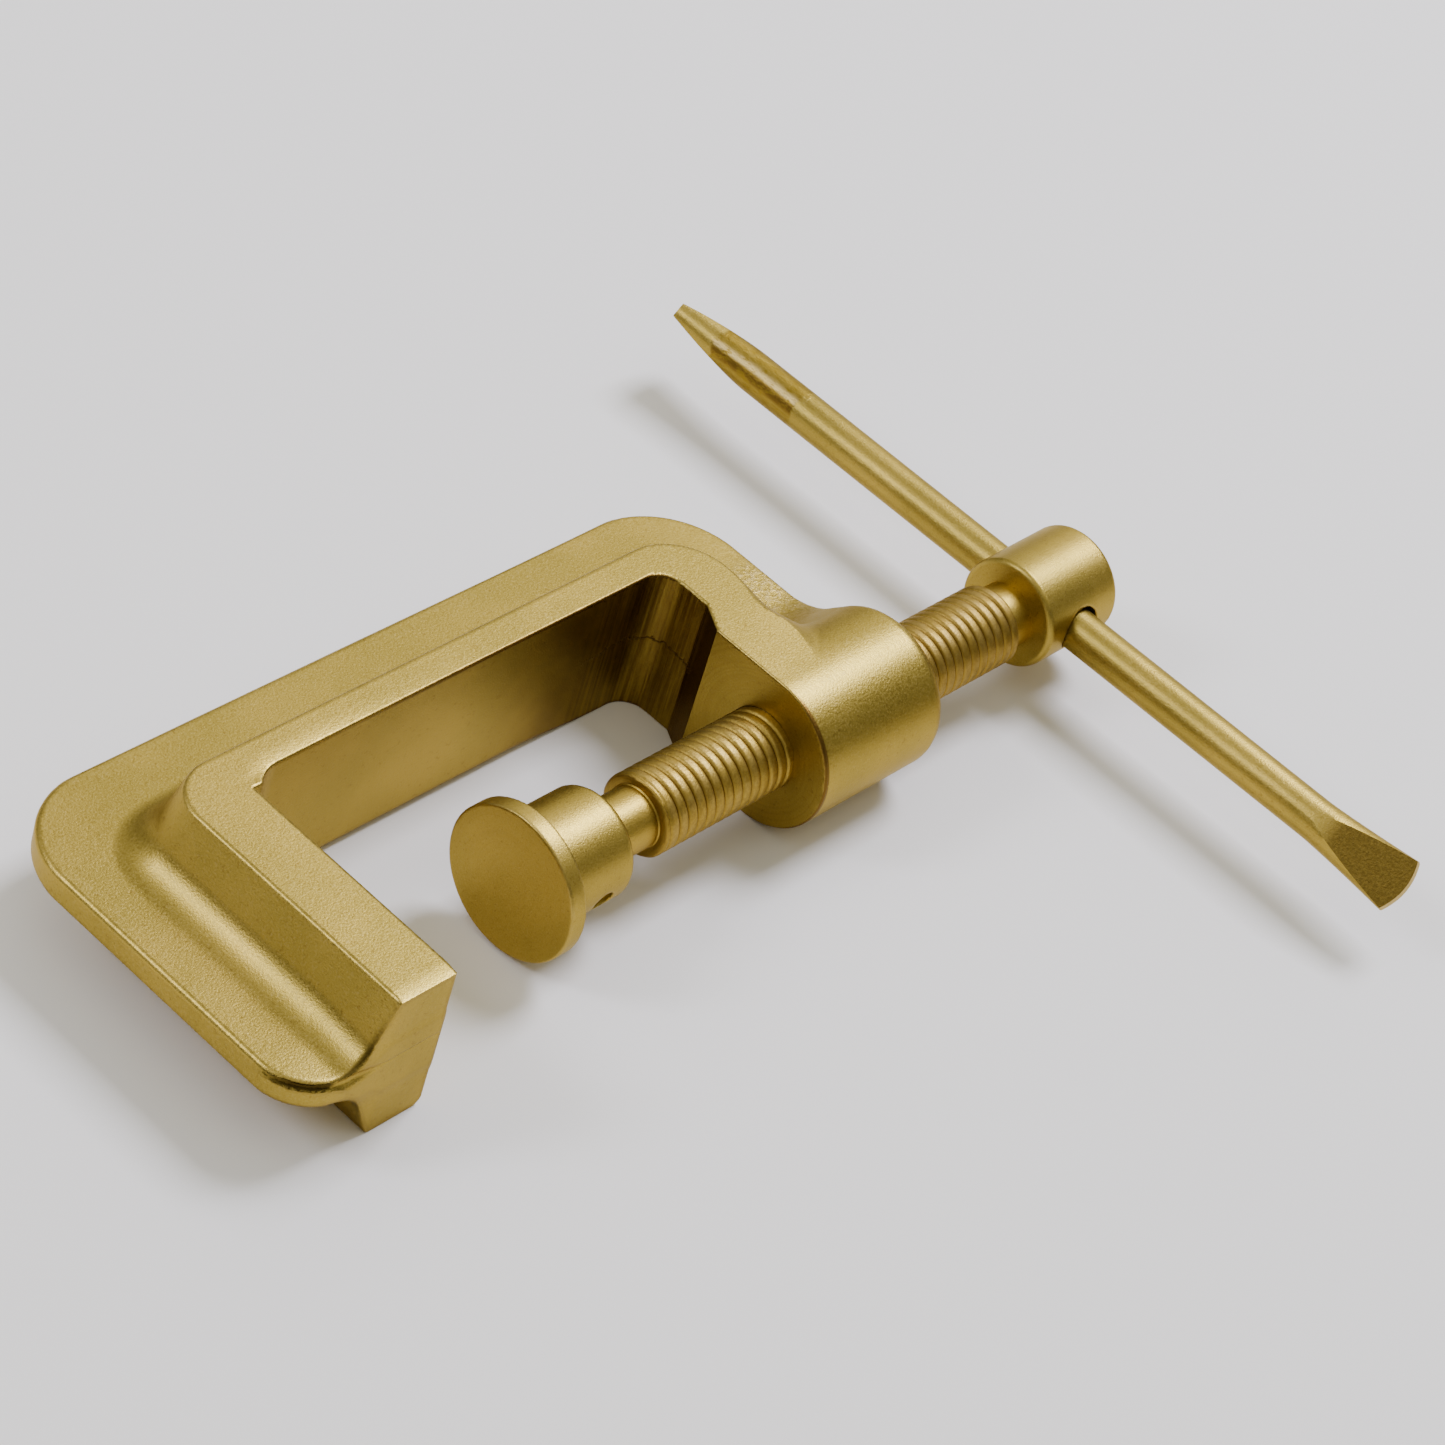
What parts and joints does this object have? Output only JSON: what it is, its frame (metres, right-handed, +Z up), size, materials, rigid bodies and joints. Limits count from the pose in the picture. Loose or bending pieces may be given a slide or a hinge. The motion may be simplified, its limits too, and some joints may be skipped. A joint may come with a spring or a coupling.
{
  "type": "g-clamp",
  "caption": "Bronze G-clamp with a T-section cast frame, a threaded spindle, a swivelling round pad and a sliding tommy bar with flattened ends, lying on its side",
  "frame": {"origin": "centre of the anvil face, on the screw axis, halfway through the frame's width", "axes": "+X along the screw from the anvil face to the head, +Y from the screw to the frame's spine, +Z up through the frame's width, with the clamp lying on its side"},
  "size_m": [0.2174, 0.1876, 0.031],
  "materials": {
    "cast_bronze": "blasted satin casting",
    "spindle_bronze": "turned satin",
    "pad_bronze": "turned satin",
    "pin_bronze": "drawn",
    "bar_bronze": "drawn satin"
  },
  "bodies": {
    "frame": {"frame": "cast_bronze"},
    "pad": {"swivel_pad": "pad_bronze", "retaining_pin": "pin_bronze"},
    "spindle": {"spindle": "spindle_bronze"},
    "tommy_bar": {"tommy_bar": "bar_bronze"}
  },
  "joints": [
    {"name": "screw_travel", "type": "slide", "parent": "frame", "child": "pad", "axis": [1, 0, 0], "range_m": [-0.0348, 0.0413]},
    {"name": "spindle_turn", "type": "hinge", "parent": "pad", "child": "spindle", "pos_m": [0.07, 0, 0], "axis": [1, 0, 0], "range_deg": [-5420, 6430]},
    {"name": "bar_slide", "type": "slide", "parent": "spindle", "child": "tommy_bar", "axis": [0, 1, 0], "range_m": [-0.062, 0.057]}
  ],
  "couplings": [
    {"joint": "screw_travel", "follows": "spindle_turn", "m_per_rad": 0.00036751}
  ]
}
